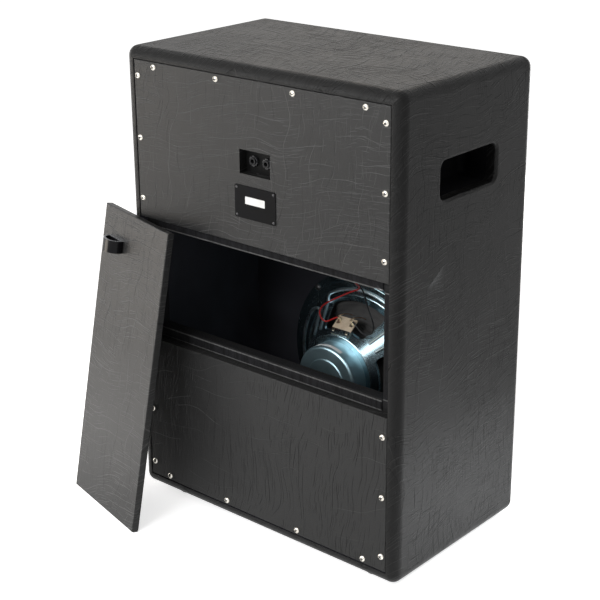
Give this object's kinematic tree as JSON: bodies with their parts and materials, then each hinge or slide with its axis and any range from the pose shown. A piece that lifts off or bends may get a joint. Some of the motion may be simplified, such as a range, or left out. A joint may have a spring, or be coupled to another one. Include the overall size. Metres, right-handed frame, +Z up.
{
  "type": "guitar speaker cabinet",
  "caption": "Vertical open-back guitar speaker cabinet in black grained vinyl, with stacked loudspeakers, rear jack sockets, side hand holes and a lift-off back panel leaning on it.",
  "frame": {"origin": "on the floor under the middle of the case, at the level of the feet's lower faces", "axes": "+Z up, +Y to the rear where the sockets are, +X to the right as seen from the front"},
  "size_m": [0.6222, 0.443, 0.752],
  "materials": {
    "plywood": "matt",
    "covering_vinyl": "grained, semi-matt",
    "panel_vinyl": "grained, semi-matt",
    "painted_wood": "matt paint",
    "grille_fabric": "woven, matt",
    "tape_fabric": "matt pile",
    "nickel_screws": "bright",
    "dark_screws": "black oxide",
    "black_plastic": "fine moulded",
    "pull_plastic": "glossy",
    "foot_rubber": "matt",
    "rating_plate": "satin",
    "speaker_steel": "satin",
    "magnet_ferrite": "matt",
    "cone_paper": "felted, matt",
    "gasket_foam": "matt",
    "spider_cloth": "treated cloth",
    "coil_copper": "satin",
    "strip_board": "fibre board",
    "terminal_brass": "tinned",
    "red_wire": "satin",
    "black_wire": "satin"
  },
  "bodies": {
    "cabinet": {"top_board": "plywood", "bottom_board": "plywood", "left_side_board": "plywood", "right_side_board": "plywood", "front_baffle": "plywood", "vinyl_covering": "covering_vinyl", "upper_back_panel": "panel_vinyl", "lower_back_panel": "panel_vinyl", "rear_battens": "painted_wood", "upper_rail": "painted_wood", "lower_rail": "painted_wood", "grille_frame": "painted_wood", "grille_cloth": "grille_fabric", "loop_tapes": "tape_fabric", "back_panel_screws": "nickel_screws", "foot_screws": "dark_screws", "handle_cup_screws": "dark_screws", "jack_plate_screws": "dark_screws", "speaker_screws": "dark_screws", "rating_plate_rivets": "dark_screws", "left_handle_cup": "black_plastic", "right_handle_cup": "black_plastic", "jack_plate": "black_plastic", "left_jack_socket": "black_plastic", "right_jack_socket": "black_plastic", "jack_nuts": "black_plastic", "rubber_feet": "foot_rubber", "rating_plate": "rating_plate", "upper_frame": "speaker_steel", "upper_top_plate": "speaker_steel", "upper_back_plate": "speaker_steel", "upper_magnet_cover": "speaker_steel", "lower_frame": "speaker_steel", "lower_top_plate": "speaker_steel", "lower_back_plate": "speaker_steel", "lower_magnet_cover": "speaker_steel", "upper_magnet": "magnet_ferrite", "lower_magnet": "magnet_ferrite", "upper_gasket": "gasket_foam", "lower_gasket": "gasket_foam", "upper_spider": "spider_cloth", "lower_spider": "spider_cloth", "upper_terminal_strip": "strip_board", "lower_terminal_strip": "strip_board", "terminal_lugs": "terminal_brass", "terminal_rivets": "terminal_brass", "red_speaker_wires": "red_wire", "black_speaker_wires": "black_wire"},
    "upper_cone_assembly": {"upper_cone": "cone_paper", "upper_dust_cap": "cone_paper", "upper_voice_coil": "coil_copper", "upper_tinsel_leads": "coil_copper"},
    "lower_cone_assembly": {"lower_cone": "cone_paper", "lower_dust_cap": "cone_paper", "lower_voice_coil": "coil_copper", "lower_tinsel_leads": "coil_copper"},
    "removable_panel": {"removable_back_panel": "panel_vinyl", "hook_tapes": "tape_fabric", "pull_loop": "pull_plastic", "pull_loop_screws": "dark_screws"}
  },
  "joints": [
    {"name": "panel_lift_off", "type": "slide", "parent": "cabinet", "child": "removable_panel", "axis": [0.1782, 0.6843, 0.7071], "range_m": [0, 0.3]},
    {"name": "upper_cone_travel", "type": "slide", "parent": "cabinet", "child": "upper_cone_assembly", "axis": [0, 1, 0], "range_m": [-0.003, 0.003], "stiffness_N_per_m": 5000},
    {"name": "lower_cone_travel", "type": "slide", "parent": "cabinet", "child": "lower_cone_assembly", "axis": [0, 1, 0], "range_m": [-0.003, 0.003], "stiffness_N_per_m": 5000}
  ]
}
